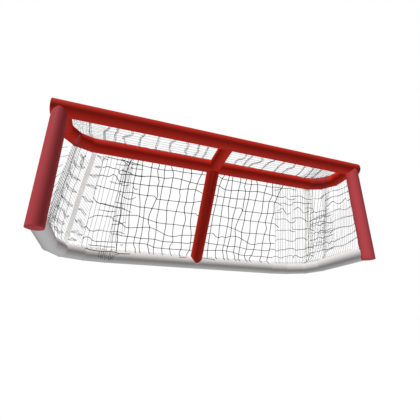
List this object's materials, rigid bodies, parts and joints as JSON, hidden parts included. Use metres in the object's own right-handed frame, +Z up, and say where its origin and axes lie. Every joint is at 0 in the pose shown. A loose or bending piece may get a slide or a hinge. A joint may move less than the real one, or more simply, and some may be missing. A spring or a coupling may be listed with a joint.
{
  "type": "hockey goal net",
  "caption": "Low ice hockey goal: round steel tube front, shelf and ground frame, with a twine net hung at the back, sides and top.",
  "frame": {"origin": "on the ground, under the middle of the goal's bounding box", "axes": "+X along the crossbar, +Z up, the open mouth faces -Y and the net is at +Y"},
  "size_m": [2.0064, 0.7688, 0.704],
  "materials": {
    "red_paint": "glossy deep red enamel on steel tube",
    "rose_paint": "satin rose red enamel on steel tube",
    "white_paint": "satin white enamel on steel tube",
    "zinc_steel": "zinc plated",
    "twine": "dark grey braided twine, matt",
    "webbing": "light grey woven webbing, matt"
  },
  "bodies": {
    "root": {"back_center_stay": "red_paint", "base_bolt_left": "zinc_steel", "base_bolt_right": "zinc_steel", "base_corner_left_1": "white_paint", "base_corner_left_2": "white_paint", "base_corner_left_3": "white_paint", "base_corner_right_1": "white_paint", "base_corner_right_2": "white_paint", "base_corner_right_3": "white_paint", "base_lacing_rod_corner_left": "zinc_steel", "base_lacing_rod_corner_right": "zinc_steel", "base_lacing_rod_rear_left": "zinc_steel", "base_lacing_rod_rear_right": "zinc_steel", "base_lacing_rod_side_left": "zinc_steel", "base_lacing_rod_side_right": "zinc_steel", "base_rear_bar": "white_paint", "base_side_left": "white_paint", "base_side_right": "white_paint", "base_spigot_left": "zinc_steel", "base_spigot_right": "zinc_steel", "crossbar": "red_paint", "crossbar_cap_left": "red_paint", "crossbar_cap_right": "red_paint", "crossbar_lacing_rod_left": "zinc_steel", "crossbar_lacing_rod_right": "zinc_steel", "net_back": "twine", "net_corner_left": "twine", "net_corner_right": "twine", "net_side_left": "twine", "net_side_right": "twine", "net_tape_left": "webbing", "net_tape_right": "webbing", "net_top": "twine", "net_wing_left": "twine", "net_wing_right": "twine", "post_bolt_left": "zinc_steel", "post_bolt_right": "zinc_steel", "post_foot_left": "rose_paint", "post_foot_right": "rose_paint", "post_lacing_rod_left": "zinc_steel", "post_lacing_rod_right": "zinc_steel", "post_left": "rose_paint", "post_right": "rose_paint", "post_spigot_left": "zinc_steel", "post_spigot_right": "zinc_steel", "shelf_bar_left": "red_paint", "shelf_bar_right": "red_paint", "shelf_bolt_left": "zinc_steel", "shelf_bolt_right": "zinc_steel", "shelf_center_strut": "red_paint", "shelf_corner_left_1": "red_paint", "shelf_corner_left_2": "red_paint", "shelf_corner_right_1": "red_paint", "shelf_corner_right_2": "red_paint", "shelf_side_left": "red_paint", "shelf_side_right": "red_paint", "shelf_spigot_left": "zinc_steel", "shelf_spigot_right": "zinc_steel"}
  },
  "joints": []
}
